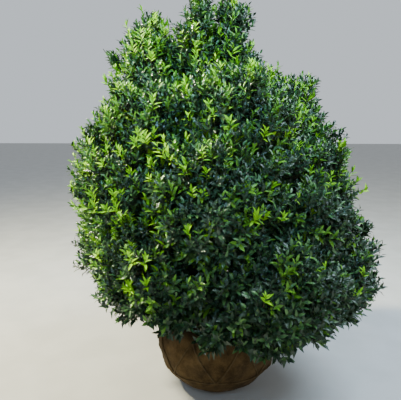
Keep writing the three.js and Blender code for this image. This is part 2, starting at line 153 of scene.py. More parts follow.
# Masses of foliage: rings of ellipsoids round the trunk, and the four leaders above them
SKIRT = dict(name="skirt", count=6, turn=-8, ring=0.47, height=0.87, shift=0.045, dip=0.1)
MIDDLE = dict(name="middle", count=6, turn=30, ring=0.447, height=1.262, shift=-0.015, dip=0.058)
UPPER = dict(name="upper", count=5, turn=5, ring=0.352, height=1.59, shift=-0.062, dip=-0.024)
TIERS = [
    dict(SKIRT, radius=0.445, rise=0.37, lead_reach=1.12, bridge=5),
    dict(MIDDLE, radius=0.4, rise=0.388, lead_reach=1.06, bridge=6.5),
    dict(UPPER, radius=0.346, rise=0.333, lead_reach=1.08, bridge=9),
]
DIP_TOWARDS = math.radians(-12)
LEADERS = [
    dict(name="left", x=-0.355, y=-0.1, height=1.86, radius=0.19, depth=0.26, rise=0.35, lead_reach=0.92),
    dict(name="middle", x=-0.128, y=-0.15, height=1.95, radius=0.14, depth=0.23, rise=0.385, lead_reach=1.05),
    dict(name="right", x=0.054, y=-0.09, height=1.91, radius=0.158, depth=0.24, rise=0.38, lead_reach=0.97),
    dict(name="back", x=-0.09, y=0.2, height=1.765, radius=0.195, depth=0.25, rise=0.345, lead_reach=0.95),
]
TOP_MASS = "leader_middle"
LEADER_BRIDGE = 5
LEADERS_APART = 3
LEADER_BLUNTNESS = 3
CELL_SHARE_LEAST = 0.15
CELL_SLACK = 0.02
INNER_SIDE = 0.35

# The crown's middle line, and how deep a valley between two masses is filled with sprays
CROWN_MIDDLE = np.array([-0.03, 0.0, 0.0])
CROWN_LOW = 0.8
CROWN_HIGH = 1.75
VALLEY_REACH = 0.4
VALLEY_DEPTH = 0.34
VALLEY_BRIDGE = 5
OUTLINE_SPAN = (0.4, 1.8)
OUTLINE_STEPS = 12

# Sprays: each is a twig from the stem of its mass that parts into shoots near the outline
SPRAY_AREA = 0.0178
AREA_POWER = 1.6
SPRAY_JITTER = 0.25
HEADING_NOISE = 0.12
SPRAY_RADIUS = 0.074
SPRAY_SHOOTS = 12
SPRAY_REACH = (0.82, 1.02)
LEADER_SPRAY_REACH = (0.8, 0.93)
UNDERSIDE_REACH = 0.89
UNDERSIDE_LEVELS = (-0.8, -0.2)
LIFT_LEVELS = (-0.9, -0.1)
SPRAY_HEAD = 0.15
LEAD_NARROWING = 0.6
TWIG_DROP = 0.02
LEAF_ROOM = 0.05
STEM_MIDDLE = 0.6
STEM_RANGE = 0.3
SHOOT_LENGTH = (0.11, 0.16)
SHOOT_BEND = 0.6
SHOOT_SHARES = (0.85, 1.2)
SHOOT_FLARE = 0.45
SHOOT_RISE = 0.2
SHOOT_NOISE = 0.1
SHOOT_DROP = 0.05
SHOOT_UNEVENNESS = 0.03
SHOOT_ROOT_RANGE = 0.3
LEAFLESS_SHARE = 0.28
SHOOT_LIFT = 1.5
UNDERSIDE_LIFT = 0.3
UNDERSIDE_SHARE = 0.35
SHOOT_SIDES = 3
SHOOT_RINGS = 3
SPRAY_TWIG_RADIUS = 0.0042
SPRAY_TWIG_SIDES = 4
SPRAY_TWIG_RINGS = 5
SHOOT_RADIUS = 0.0021

# Leaves: folded blades, set round each shoot by the golden angle
SHOOT_LEAVES = 14
LEAF_LENGTH = 0.043
LEAF_SIZES = (0.78, 1.05, 0.68)
LEAF_SIZE_STEPS = (0, 0.45, 1)
LEAF_SIZE_RANGE = (0.82, 1.12)
LEAF_SPREAD = (1.05, 0.42)
LEAF_SPREAD_POWER = 1.3
LEAF_TILT_NOISE = 0.1
LEAF_AIM_NOISE = 0.08
LEAF_FACING_UP = 0.35
LEAF_FACING_NOISE = 0.15
LEAF_REFERENCE = FRONT + 0.2 * UP
LEAF_FOLD = 0.42
SHADE_BLADE = dict(rows=((0.5, 0.22),), droop=0.26)
OVAL_BLADE = dict(rows=((0.27, 0.165), (0.68, 0.16)), droop=0.22)
YOUNG_BLADE = dict(rows=((0.28, 0.15), (0.66, 0.115)), droop=0.32)
OVAL_MIDDLE = 0.5
SHADE_LEAF_SIZE = 1.2
TWIG_LEAVES = 8
TWIG_LEAF_LENGTH = 0.055
TWIG_LEAF_SPAN = (0.2, 0.95)
TWIG_LEAF_RANGE = (0.8, 1.15)

# Young shoots: each takes the place of one of a spray's shoots and stands proud, its leaves in two
# loose ranks
YOUNG_SHARE = (0.015, 0.2)
YOUNG_LOWEST = -0.25
YOUNG_LENGTH = 0.11
YOUNG_PROUD = 0.032
YOUNG_PROUD_RANGE = (0.5, 1.4)
YOUNG_HEADING = (0.4, 1.1, 0.2)
YOUNG_NOISE = 0.15
YOUNG_LEAVES = 8
YOUNG_LEAF_LENGTH = 0.046
YOUNG_FOOT = (0.68, 0.35)
YOUNG_SMALLEST = 0.72
YOUNG_SIZES = (0.85, 1.12, 0.7)
YOUNG_SIZE_STEPS = (0, 0.5, 1)
YOUNG_SIZE_RANGE = (0.7, 1.15)
YOUNG_SPREAD = (0.85, 0.3)
YOUNG_LOOSENESS = 0.8
YOUNG_FACING = 0.5
# Chance of the tender tone from shade to sun: it is the young tone's shaded copy, painted shade
TENDER_SHARES = (1.3, 0.3)

# Leaf tones: two base colours each. Shoots high and to the left wear the light tones more often, as painted
# light, and shoots low and on the right the deep tone, as painted shade.
TONES = {
    # The deep tone is painted shade and the bright tone painted light, dealt on top of the leaves' own green.
    "deep": ((0.016, 0.036, 0.019), (0.03, 0.06, 0.027)),
    "mature": ((0.042, 0.106, 0.037), (0.076, 0.166, 0.044)),
    "bright": ((0.08, 0.215, 0.016), (0.125, 0.29, 0.02)),
    # tender and young: the lime of new growth, made brighter as painted light shining through the leaves;
    # tender is the shaded copy
    "tender": ((0.135, 0.345, 0.004), (0.195, 0.435, 0.005)),
    "young": ((0.205, 0.45, 0.002), (0.275, 0.54, 0.003)),
}
SPRAY_TONES = ("deep", "mature", "bright")
# A place's sun shifts the shares from the shaded ones to the sunlit ones: painted light and shade.
SHADED_SHARES = (0.88, 0.11, 0.01)
SUNLIT_SHARES = (0.2, 0.42, 0.38)
# Share of a shoot's leaves, from its root, that go one tone darker: their age and painted shade
OLDER_SHADED_SHARE = 0.35
LEAF_ODDS = (0.3, 0.52, 0.18)
SUN_HEIGHTS = (0.7, 1.7)
SUN_BY_HEIGHT = 0.72
SUN_BY_DISTANCE = 0.3
SUN_BY_SIDE = 0.33

# Room that leaves keep above and beside the ball, and over the ground
BALL_TOP_ROOM = 0.015
BALL_SIDE_ROOM = 0.012
GROUND_ROOM = 0.03

# Open sky between the tops of the left and the middle leader, and sprigs that stray out of the outline
NOTCH_PLACE = -0.23
NOTCH_FOOT = 2.085
NOTCH_OPENING = 0.6
SPRIGS = [
    dict(root=(-0.45, -0.12, 1.76), tip=(-0.62, -0.14, 1.985), shoots=9, spread=0.02),
    dict(root=(0.4, -0.08, 1.34), tip=(0.665, -0.1, 1.565), shoots=26, spread=0.05),
]
SPRIG_SUN = 0.7
SPRIG_SPREAD_LEAST = 0.4
SPRIG_DROP = SHOOT_DROP / 4
SPRIG_SEED = 99

# Finishes: scales and details of their noises, where a noise's dark colour ends and its light one
# begins, gloss as roughness and specular level, and bump as strength and distance
LEAF_PATCH_SCALE = 38.0
LEAF_VEIN_SCALE = 260.0
LEAF_RAMP = (0.35, 0.65)
LEAF_BUMP = (0.5, 0.004)
OLDER_GLOSS = (0.15, 0.38)
YOUNG_GLOSS = (0.35, 0.12)
WOOD_DETAIL = 6.0
WOOD_RAMP = (0.3, 0.7)
WOOD_BUMP = (0.5, 0.003)
STAIN_SCALE = 11.0
STAIN_DETAIL = 9.0
STAIN_ROUGHNESS = 0.72
BURLAP_RAMP = (0.36, 0.64)
BURLAP_GLOSS = (0.95, 0.15)
WEAVE_SCALE = 170.0
WEAVE_DETAIL = 3.0
WEAVE_BUMP = (0.9, 0.004)

# Floor and the studio's even light
FLOOR_SIZE = 60
FLOOR_SQUARES = 8
FLOOR_COLOURS = ((0.37, 0.37, 0.36), (0.4, 0.4, 0.39))
FLOOR_RAMP = (0.4, 0.6)
FLOOR_SPECKLE_SCALE = 3.0
FLOOR_ROUGHNESS = 0.8
WORLD_COLOUR = (0.86, 0.93, 1.0, 1)
WORLD_STRENGTH = 0.76


def unit(vectors):
    vectors = np.asarray(vectors, float)
    return vectors / np.maximum(np.linalg.norm(vectors, axis=-1, keepdims=True), LEAST_LENGTH)


def bezier(start, bend, end, t):
    t = np.asarray(t, float)[..., None]
    return (1 - t) ** 2 * start + 2 * t * (1 - t) * bend + t**2 * end


def bezier_tangent(start, bend, end, t):
    t = np.asarray(t, float)[..., None]
    return unit((1 - t) * (bend - start) + t * (end - bend))


def mesh_piece(name, vertices, faces, material):
    """A mesh piece that rides on the plant. faces is an array of triangles or of quads."""
    corners = faces.shape[1]
    mesh = bpy.data.meshes.new(name)
    mesh.vertices.add(len(vertices))
    mesh.vertices.foreach_set("co", np.asarray(vertices, np.float32).ravel())
    mesh.loops.add(faces.size)
    mesh.loops.foreach_set("vertex_index", faces.astype(np.int32).ravel())
    mesh.polygons.add(len(faces))
    mesh.polygons.foreach_set("loop_start", np.arange(0, faces.size, corners, dtype=np.int32))
    mesh.polygons.foreach_set("use_smooth", np.ones(len(faces), bool))
    mesh.update(calc_edges=True)
    mesh.materials.append(material)
    piece = bpy.data.objects.new(name, mesh)
    bpy.context.scene.collection.objects.link(piece)
    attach(piece, BODY)
    return piece


def tube_faces(count, rings, sides):
    """Quads of count tubes, each of rings rings of sides points."""
    ring, side = np.meshgrid(np.arange(rings - 1), np.arange(sides), indexing="ij")
    a = ring * sides + side
    b = ring * sides + (side + 1) % sides
    quads = np.stack([a, b, b + sides, a + sides], -1).reshape(-1, 4)
    first = np.arange(count)[:, None, None] * rings * sides
    return (quads[None] + first).reshape(-1, 4)


def tube_points(paths, radii, sides):
    """Points of tubes along paths (count, rings, 3) with radii (count, rings, sides or 1)."""
    along = unit(np.gradient(paths, axis=1))
    chord = unit(paths[:, -1] - paths[:, 0])
    reference = np.where(np.abs(chord[:, 2:3]) > STEEP, [[1.0, 0.0, 0.0]], UP[None])
    across = unit(np.cross(along, reference[:, None, :]))
    other = np.cross(along, across)
    angle = 2 * math.pi * np.arange(sides) / sides
    ring = across[..., None, :] * np.cos(angle)[:, None] + other[..., None, :] * np.sin(angle)[:, None]
    return (paths[..., None, :] + ring * radii[..., None]).reshape(-1, 3)


def smooth_outline(bends):
    """A Catmull-Rom curve through the bends of an outline, as many short steps."""
    padded = np.concatenate([2 * bends[:1] - bends[1:2], bends, 2 * bends[-1:] - bends[-2:-1]])
    t = np.linspace(0, 1, OUTLINE_CURVE_STEPS, endpoint=False)[:, None]
    stretches = []
    for a, b, c, d in zip(padded, padded[1:], padded[2:], padded[3:]):
        stretches.append(b + 0.5 * t * (c - a + t * (2 * a - 5 * b + 4 * c - d + t * (3 * (b - c) + d - a))))
    return np.concatenate([*stretches, bends[-1:]])


def ball_radius(height):
    curve = smooth_outline(BALL_OUTLINE)
    return np.interp(height, curve[:, 1], curve[:, 0])


def tier_masses(tier):
    masses = []
    for i in range(tier["count"]):
        angle = math.radians(tier["turn"] + 360 * i / tier["count"])
        lowered = tier["dip"] * math.cos(angle - DIP_TOWARDS)
        outward = np.array([math.cos(angle), math.sin(angle), 0])
        centre = outward * tier["ring"] + [tier["shift"], 0, tier["height"] - lowered]
        fork = max(tier["height"] - BOUGH_DROP * tier["rise"], BALL_TOP + BOUGH_LOWEST)
        masses.append(
            dict(
                name=f"{tier['name']}_{i + 1}",
                centre=centre,
                radii=np.array([tier["radius"], tier["radius"], tier["rise"]]),
                outward=outward,
                lead=unit(outward + UP),
                lead_reach=tier["lead_reach"],
                bridge=tier["bridge"],
                fork=fork + BOUGH_STAGGER * (i % 3 - 1),
            )
        )
    return masses


def leader_mass(leader):
    return dict(
        name=f"leader_{leader['name']}",
        centre=np.array([leader["x"], leader["y"], leader["height"]]),
        radii=np.array([leader["radius"], leader["depth"], leader["rise"]]),
        outward=None,
        lead=UP,
        lead_reach=leader["lead_reach"],
        bridge=LEADER_BRIDGE,
        fork=LEADER_FORK_HEIGHT,
    )


def cell_planes(mass, masses):
    """The space of a mass: one plane towards each other mass, where the two ellipsoids meet."""
    normals, offsets = [], []
    for other in masses:
        if other is mass:
            continue
        normal = other["centre"] - mass["centre"]
        distance = np.linalg.norm(normal)
        normal = normal / distance
        own = 1 / np.linalg.norm(normal / mass["radii"])
        their = 1 / np.linalg.norm(normal / other["radii"])
        wanted = (distance**2 + own**2 - their**2) / (2 * distance)
        least = CELL_SHARE_LEAST * distance
        reach = np.clip(wanted, least, distance - least)
        normals.append(normal)
        offsets.append(normal @ mass["centre"] + reach)
    return np.array(normals), np.array(offsets)


def inside_cell(points, mass, slack=0.0):
    normals, offsets = mass["planes"]
    return np.all(points @ normals.T < offsets + slack, axis=-1)


def free_reach(directions, mass):
    """How far each direction of a mass runs before it leaves the mass's space: 1 on the ellipsoid."""
    normals, offsets = mass["planes"]
    room = offsets - normals @ mass["centre"]
    towards = (directions * mass["radii"]) @ normals.T
    reach = room / np.maximum(towards, LEAST_SLOPE)
    return np.min(np.where(towards > LEAST_SLOPE, reach, np.inf), axis=1)


def outline_level(points, masses, bridge, apart=0.0):
    """1 on the crown's outline and less inside it. It bridges the creases between the masses,
    the more the lower the bridge's number, and less where masses are held apart."""
    reach = [np.linalg.norm((points - mass["centre"]) / mass["radii"], axis=1) for mass in masses]
    return -np.log(np.sum(np.exp(-bridge * (np.array(reach) + apart)), axis=0)) / bridge


def blunt_share(directions):
    """How much further than an ellipsoid the outline of a leader's blunt top runs."""
    level = np.hypot(directions[:, 0], directions[:, 1])
    height = np.maximum(directions[:, 2], 0)
    blunt = (level**LEADER_BLUNTNESS + height**LEADER_BLUNTNESS) ** (-1 / LEADER_BLUNTNESS)
    return np.where(directions[:, 2] > 0, blunt, 1)


def crown_reach(directions, mass, masses):
    """How far each direction of a mass runs to the crown's outline, by halving the span.

    Towards their blunt tops the leaders stand more and more apart."""
    apart = np.zeros((len(masses), len(directions)))
    for row, other in zip(apart, masses):
        if other is not mass and other["outward"] is None and mass["outward"] is None:
            row += LEADERS_APART * np.clip(directions[:, 2], 0, 1)
    low = np.full(len(directions), OUTLINE_SPAN[0])
    high = np.full(len(directions), OUTLINE_SPAN[1])
    for _ in range(OUTLINE_STEPS):
        middle = (low + high) / 2
        points = mass["centre"] + directions * mass["radii"] * middle[:, None]
        inside = outline_level(points, masses, mass["bridge"], apart) < 1
        low = np.where(inside, middle, low)
        high = np.where(inside, high, middle)
    return low * blunt_share(directions) if mass["outward"] is None else low


def near_outside(points, masses):
    """Whether points lie less than a valley's depth inside the crown."""
    middle = CROWN_MIDDLE + UP * np.clip(points[:, 2:3], CROWN_LOW, CROWN_HIGH)
    return outline_level(points + unit(points - middle) * VALLEY_DEPTH, masses, VALLEY_BRIDGE) > 1


def trunk_top(masses):
    leader = next(mass for mass in masses if mass["name"] == TOP_MASS)
    return leader["centre"] - UP * leader["radii"][2] * TRUNK_END_SHARE


def trunk_points(t, top):
    t = np.asarray(t, float)
    above_foot = np.clip((t * TRUNK_STEPS - 1) / (TRUNK_STEPS - 1), 0, 1)
    lean = above_foot**TRUNK_LEAN_POWER
    sway = TRUNK_SWAY * np.sin(2 * math.pi * above_foot) * (1 - t)
    height = BALL_TOP + t * (top[2] - BALL_TOP)
    return np.stack([top[0] * lean + sway, top[1] * lean - sway * t, height], -1)


def trunk_radius(t, height):
    taper = TRUNK_FOOT_RADIUS + (TRUNK_TIP_RADIUS - TRUNK_FOOT_RADIUS) * t
    return taper + TRUNK_FLARE * np.exp(-t * height / FLARE_HEIGHT)


def bough_of(mass, top):
    """The bough's curve from the trunk to the middle of its mass, with the stem inside the mass."""
    height = top[2] - BALL_TOP
    if mass["name"] == TOP_MASS:
        before_top, root = trunk_points([BELOW_TIP, 1.0], top)
        heading = unit(root - before_top)
        bend = root + heading * np.linalg.norm(mass["centre"] - root) / 2
        return dict(curve=(root, bend, mass["centre"]), entry=0.0, root_radius=TRUNK_TIP_RADIUS)
    share = (mass["fork"] - BALL_TOP) / height
    root = trunk_points(share, top)
    bend = (root + mass["centre"]) / 2
    if mass["outward"] is None:
        bend = np.array([*mass["centre"][:2], bend[2] - mass["radii"][2] / 2])
    else:
        bend = bend - UP * mass["radii"][2] * BOUGH_SAG
    curve = (root, bend, mass["centre"])
    t = np.linspace(0, 1, BOUGH_SAMPLES)
    points = bezier(*curve, t)
    reach = np.linalg.norm((points - mass["centre"]) / mass["radii"], axis=1)
    outside = ~inside_cell(points, mass) | (reach > ENTRY_SHARE)
    entry = t[outside][-1] if outside.any() else 0.0
    return dict(curve=curve, entry=entry, root_radius=trunk_radius(share, height) * BOUGH_ROOT_SHARE)


def spray_directions(mass, masses, rng):
    """Even directions over a mass's free outside, in a golden spiral, with the leading one first.

    With each comes its reach: a spray that would leave the mass's space ends at the edge of it."""
    a, b, c = mass["radii"]
    mean = ((a * b) ** AREA_POWER + (a * c) ** AREA_POWER + (b * c) ** AREA_POWER) / 3
    count = int(4 * math.pi * mean ** (1 / AREA_POWER) / SPRAY_AREA)
    level = 1 - (2 * np.arange(count) + 1) / count
    angle = rng.uniform(0, 2 * math.pi) + np.arange(count) * GOLDEN_ANGLE
    round_part = np.sqrt(1 - level**2)
    even = np.stack([round_part * np.cos(angle), round_part * np.sin(angle), level], -1)
    even = unit(even + rng.normal(0, SPRAY_JITTER / math.sqrt(count), even.shape))
    if mass["outward"] is not None:
        even = even[even @ mass["outward"] > -INNER_SIDE]
    free = free_reach(even, mass)
    outline = crown_reach(even, mass, masses)
    share = SPRAY_REACH if mass["outward"] is not None else LEADER_SPRAY_REACH
    shrunk = np.interp(even[:, 2], UNDERSIDE_LEVELS, [UNDERSIDE_REACH, 1])
    reach = np.minimum(outline * shrunk * rng.uniform(*share, len(even)), free)
    tips = mass["centre"] + even * mass["radii"] * reach[:, None]
    kept = (free > outline) | ((free > VALLEY_REACH) & near_outside(tips, masses))
    directions = np.concatenate([[mass["lead"]], even[kept]])
    return zip(directions, [mass["lead_reach"], *reach[kept]])


def grow_spray(mass, bough, direction, reach, is_lead, rng):
    """One twig that parts into shoots: the twig's Bezier curve, and the curves of the shoots."""
    normal = unit(direction / mass["radii"])
    lift = np.interp(direction[2], LIFT_LEVELS, [UNDERSIDE_LIFT, SHOOT_LIFT])
    outward = unit(normal * [1, 1, UNDERSIDE_SHARE if normal[2] < 0 else 1])
    heading = unit(outward + UP * lift + rng.normal(0, HEADING_NOISE, 3))
    leaf_room = LEAF_ROOM * mass["radii"][0]
    tip = mass["centre"] + direction * mass["radii"] * reach - normal * leaf_room
    head = tip - heading * SPRAY_HEAD
    stem_share = STEM_MIDDLE + STEM_RANGE * (direction @ bezier_tangent(*bough["curve"], 1.0))
    root = bezier(*bough["curve"], bough["entry"] + (1 - bough["entry"]) * stem_share)
    twig = (root, (root + head) / 2 - UP * TWIG_DROP, head)
    side = unit(np.cross(heading, FRONT if abs(heading[2]) > STEEP else UP))
    other = np.cross(heading, side)
    k = np.arange(SPRAY_SHOOTS)
    angle = rng.uniform(0, 2 * math.pi) + k * GOLDEN_ANGLE
    share = np.sqrt(k / SPRAY_SHOOTS) * rng.uniform(*SHOOT_SHARES, SPRAY_SHOOTS)
    if is_lead:
        share = share * LEAD_NARROWING
    across = (side * np.cos(angle)[:, None] + other * np.sin(angle)[:, None]) * share[:, None]
    drop = SHOOT_DROP * share**2 + rng.uniform(0, SHOOT_UNEVENNESS, SPRAY_SHOOTS)
    tips = tip + across * SPRAY_RADIUS - heading * drop[:, None]
    bases = bezier(*twig, np.clip(1 - SHOOT_ROOT_RANGE * share, 0, 1))
    aims = heading + across * SHOOT_FLARE + UP * SHOOT_RISE
    aims = unit(aims + rng.normal(0, SHOOT_NOISE, (SPRAY_SHOOTS, 3)))
    length = rng.uniform(*SHOOT_LENGTH, SPRAY_SHOOTS)[:, None]
    bends = tips - aims * length * SHOOT_BEND
    return twig, (bases, bends, tips)


def leaf_ranks(shoots, step, angle, spread, reference, rng):
    """Leaves along shoots, at an angle round each: roots, directions and upper faces."""
    bases, bends, tips = (np.asarray(points)[:, None, :] for points in shoots)
    shape = (len(tips), np.shape(step)[-1])
    t = np.broadcast_to(LEAFLESS_SHARE + (1 - LEAFLESS_SHARE) * step, shape)
    roots = bezier(bases, bends, tips, t)
    along = bezier_tangent(bases, bends, tips, t)
    side = unit(np.cross(along, reference))
    other = np.cross(along, side)
    around = side * np.cos(angle)[..., None] + other * np.sin(angle)[..., None]
    tilt = spread + rng.normal(0, LEAF_TILT_NOISE, shape)
    aim = along * np.cos(tilt)[..., None] + around * np.sin(tilt)[..., None]
    aim = unit(aim + rng.normal(0, LEAF_AIM_NOISE, aim.shape))
    facing = unit(along + UP * LEAF_FACING_UP + rng.normal(0, LEAF_FACING_NOISE, aim.shape))
    return roots, aim, facing


def mature_leaves(shoots, sun, rng):
    count = len(shoots[0])
    step = np.linspace(0, 1, SHOOT_LEAVES)
    angle = rng.uniform(0, 2 * math.pi, (count, 1)) + np.arange(SHOOT_LEAVES) * GOLDEN_ANGLE
    spread = LEAF_SPREAD[0] + (LEAF_SPREAD[1] - LEAF_SPREAD[0]) * step**LEAF_SPREAD_POWER
    size = np.interp(step, LEAF_SIZE_STEPS, LEAF_SIZES)
    size = size * rng.uniform(*LEAF_SIZE_RANGE, (count, SHOOT_LEAVES))
    roots, aim, facing = leaf_ranks(shoots, step, angle, spread, LEAF_REFERENCE, rng)
    return roots, aim, facing, size * LEAF_LENGTH * (SHADE_LEAF_SIZE + (1 - SHADE_LEAF_SIZE) * sun)


def twig_leaves(twig, rng):
    """The older leaves inside the crown, along the outer part of a spray's twig."""
    curve = [point[None] for point in twig]
    step = np.linspace(*TWIG_LEAF_SPAN, TWIG_LEAVES)
    angle = rng.uniform(0, 2 * math.pi, (1, 1)) + np.arange(TWIG_LEAVES) * GOLDEN_ANGLE
    roots, aim, facing = leaf_ranks(curve, step, angle, LEAF_SPREAD[0], LEAF_REFERENCE, rng)
    return roots, aim, facing, TWIG_LEAF_LENGTH * rng.uniform(*TWIG_LEAF_RANGE, (1, TWIG_LEAVES))


def young_shoots(shoots, outward, rng):
    """Young shoots stand proud of the shoots whose place they take, and more upright."""
    bases, bends, tips = shoots
    onward, upward, away = YOUNG_HEADING
    heading = unit(tips - bends) * onward + UP * upward + outward * away
    heading = unit(heading + rng.normal(0, YOUNG_NOISE, tips.shape))
    ends = tips + heading * YOUNG_PROUD * rng.uniform(*YOUNG_PROUD_RANGE, (len(tips), 1))
    return bases, ends - heading * YOUNG_LENGTH * SHOOT_BEND, ends


def young_leaves(shoots, outward, rng):
    """Leaves in two loose ranks that open to the sides as seen from outside the crown."""
    shape = (len(shoots[0]), YOUNG_LEAVES)
    fullness = rng.random((shape[0], 1))
    order = np.broadcast_to(np.linspace(0, 1, YOUNG_LEAVES), shape)
    foot = YOUNG_FOOT[0] + (YOUNG_FOOT[1] - YOUNG_FOOT[0]) * fullness
    step = foot + (1 - foot) * order
    ranks = order * (YOUNG_LEAVES - 1) * math.pi + rng.normal(0, YOUNG_LOOSENESS, shape)
    spread = YOUNG_SPREAD[0] + (YOUNG_SPREAD[1] - YOUNG_SPREAD[0]) * order
    size = np.interp(order, YOUNG_SIZE_STEPS, YOUNG_SIZES) * rng.uniform(*YOUNG_SIZE_RANGE, shape)
    size = size * (YOUNG_SMALLEST + (1 - YOUNG_SMALLEST) * fullness)
    roots, aim, facing = leaf_ranks(shoots, step, ranks, spread, outward, rng)
    return roots, aim, unit(facing + outward * YOUNG_FACING), size * YOUNG_LEAF_LENGTH


def keep_clear(points, mass):
    """Whether points keep to their mass's space and clear of the ball, the ground and the notch."""
    height = points[..., 2]
    from_axis = np.hypot(points[..., 0], points[..., 1])
    near_ball = (height < BALL_TOP + BALL_TOP_ROOM) & (from_axis < ball_radius(height) + BALL_SIDE_ROOM)
    in_notch = np.abs(points[..., 0] - NOTCH_PLACE) < NOTCH_OPENING * (height - NOTCH_FOOT)
    return inside_cell(points, mass, CELL_SLACK) & ~near_ball & ~in_notch & (height > GROUND_ROOM)


def blade_template(rows, droop):
    """Points of a leaf as shares of its length (forward, sideways, above), and its triangles."""
    points = [(0, 0, 0)]
    for forward, half in rows:
        low = -droop * forward**2
        edge = low + LEAF_FOLD * half
        points += [(forward, -half, edge), (forward, 0, low), (forward, half, edge)]
    points.append((1, 0, -droop))
    triangles = [(0, 2, 1), (0, 3, 2)]
    for row in range(len(rows) - 1):
        a = 1 + 3 * row
        triangles += [(a, a + 1, a + 4), (a, a + 4, a + 3), (a + 1, a + 2, a + 5), (a + 1, a + 5, a + 4)]
    last = 1 + 3 * (len(rows) - 1)
    tip = last + 3
    triangles += [(last, last + 1, tip), (last + 1, last + 2, tip)]
    return np.array(points), np.array(triangles)


def oval_template(rows, droop):
    """An oval leaf: six triangles round one point of its midrib."""
    low = -droop * OVAL_MIDDLE**2
    points = [(OVAL_MIDDLE, 0, low), (0, 0, 0)]
    points += [(forward, half, LEAF_FOLD * half - droop * forward**2) for forward, half in rows]
    points.append((1, 0, -droop))
    points += [(forward, -half, LEAF_FOLD * half - droop * forward**2) for forward, half in rows[::-1]]
    rim = list(range(1, len(points)))
    triangles = [(0, there, here) for here, there in zip(rim, rim[1:] + rim[:1])]
    return np.array(points), np.array(triangles)


def blades(roots, aim, facing, length, template, triangles):
    side = unit(np.cross(facing, aim))
    above = np.cross(aim, side)
    forward, sideways, high = (template[:, i][None, :, None] for i in range(3))
    points = roots[:, None] + length[:, None, None] * (
        aim[:, None] * forward + side[:, None] * sideways + above[:, None] * high
    )
    first = np.arange(len(roots))[:, None, None] * len(template)
    return points.reshape(-1, 3), (triangles[None] + first).reshape(-1, 3)


class Growth:
    """What all the masses grow: leaves by tone, shoots and twigs."""

    def __init__(self):
        self.leaves = {tone: [] for tone in TONES}
        self.shoots = []
        self.twigs = []

    def add_leaves(self, tone, mass, leaves, chosen):
        roots, aim, facing, length = leaves
        keep = chosen & keep_clear(roots + aim * length[..., None], mass)
        self.leaves[tone].append((roots[keep], aim[keep], facing[keep], length[keep]))


def sunlit(place):
    """How much sun a place of the crown gets, from 0 low on the right to 1 high on the left."""
    height = min((place[2] - SUN_HEIGHTS[0]) / (SUN_HEIGHTS[1] - SUN_HEIGHTS[0]), 1)
    sideways = abs(place[0]) * SUN_BY_DISTANCE - place[0] * SUN_BY_SIDE
    return float(np.clip(height * SUN_BY_HEIGHT + sideways, 0, 1))


def grow_mature(mass, growth, shoots, sun, rng):
    """Shoots in the tone dealt to each, lighter in the sun and deeper in the shade as painted light and
    shade. Its older leaves, near its root, go a tone darker, for their age and as painted shade deep in the
    spray, and some others differ.
    """
    shares = np.array(SHADED_SHARES) * (1 - sun) + np.array(SUNLIT_SHARES) * sun
    leaves = mature_leaves(shoots, sun, rng)
    dealt = rng.choice(len(SPRAY_TONES), (len(shoots[0]), 1), p=shares / shares.sum())
    # Older leaves near the root: one tone darker for their age and as painted shade
    older_shaded = np.arange(SHOOT_LEAVES) < SHOOT_LEAVES * OLDER_SHADED_SHARE
    odd = rng.choice((-1, 0, 1), leaves[3].shape, p=LEAF_ODDS)
    worn = np.clip(dealt - older_shaded + odd, 0, len(SPRAY_TONES) - 1)
    growth.shoots.append(shoots)
    for number, tone in enumerate(SPRAY_TONES):
        growth.add_leaves(tone, mass, leaves, worn == number)


def grow_young(mass, growth, shoots, outward, sun, rng):
    """Young shoots wear the yellowest tone in the sun and the greener one in the shade, as lit and shaded
    copies: painted light and shade. Both tones are brighter than new growth's own lime, as painted light
    shining through the leaves.
    """
    shoots = young_shoots(shoots, outward, rng)
    leaves = young_leaves(shoots, outward, rng)
    is_tender = rng.random((len(shoots[0]), 1)) < np.interp(sun, [0, 1], TENDER_SHARES)
    every = np.ones((1, YOUNG_LEAVES), bool)
    growth.shoots.append(shoots)
    growth.add_leaves("tender", mass, leaves, is_tender & every)
    growth.add_leaves("young", mass, leaves, ~is_tender & every)


def grow_mass(mass, masses, bough, growth, rng):
    for number, (direction, reach) in enumerate(spray_directions(mass, masses, rng)):
        twig, shoots = grow_spray(mass, bough, direction, reach, number == 0, rng)
        kept = keep_clear(shoots[2], mass)
        if not kept.any():
            continue
        growth.twigs.append(twig)
        # Twig leaves wear the deep tone: older leaves, and painted shade inside the crown
        growth.add_leaves("deep", mass, twig_leaves(twig, rng), True)
        sun = sunlit(shoots[2][0])
        # Young shoots come more often in the sun and not facing down: partly where new growth comes, partly
        # painted light from their bright lime
        faces_down = direction[2] < YOUNG_LOWEST
        is_young = rng.random(SPRAY_SHOOTS) < np.interp(sun, [0, 1], YOUNG_SHARE) * (not faces_down)
        grow_mature(mass, growth, [points[kept & ~is_young] for points in shoots], sun, rng)
        outward = unit(direction / mass["radii"])
        grow_young(mass, growth, [points[kept & is_young] for points in shoots], outward, sun, rng)


def grow_sprig(sprig, growth, rng):
    """A bunch of shoots that grow out of the crown, on a twig of their own in free space."""
    free_space = dict(planes=(np.zeros((1, 3)), np.ones(1)))
    root, tip = np.array(sprig["root"]), np.array(sprig["tip"])
    heading = unit(tip - root)
    along = rng.uniform(0, 1, (sprig["shoots"], 1))
    tips = tip - heading * SHOOT_LENGTH[0] * along
    tips = tips + rng.normal(0, sprig["spread"], tips.shape) * (SPRIG_SPREAD_LEAST + along)
    bases = tips - heading * SHOOT_LENGTH[0]
    shoots = (bases, (bases + tips) / 2 - UP * SPRIG_DROP, tips)
    growth.twigs.append((root, (root + tip) / 2 - UP * TWIG_DROP, tip))
    grow_mature(free_space, growth, shoots, SPRIG_SUN, rng)


def node_setup(name):
    material = bpy.data.materials.new(name)
    material.use_nodes = True
    nodes = material.node_tree.nodes
    shader = nodes["Principled BSDF"]
    return material, nodes, material.node_tree.links, shader


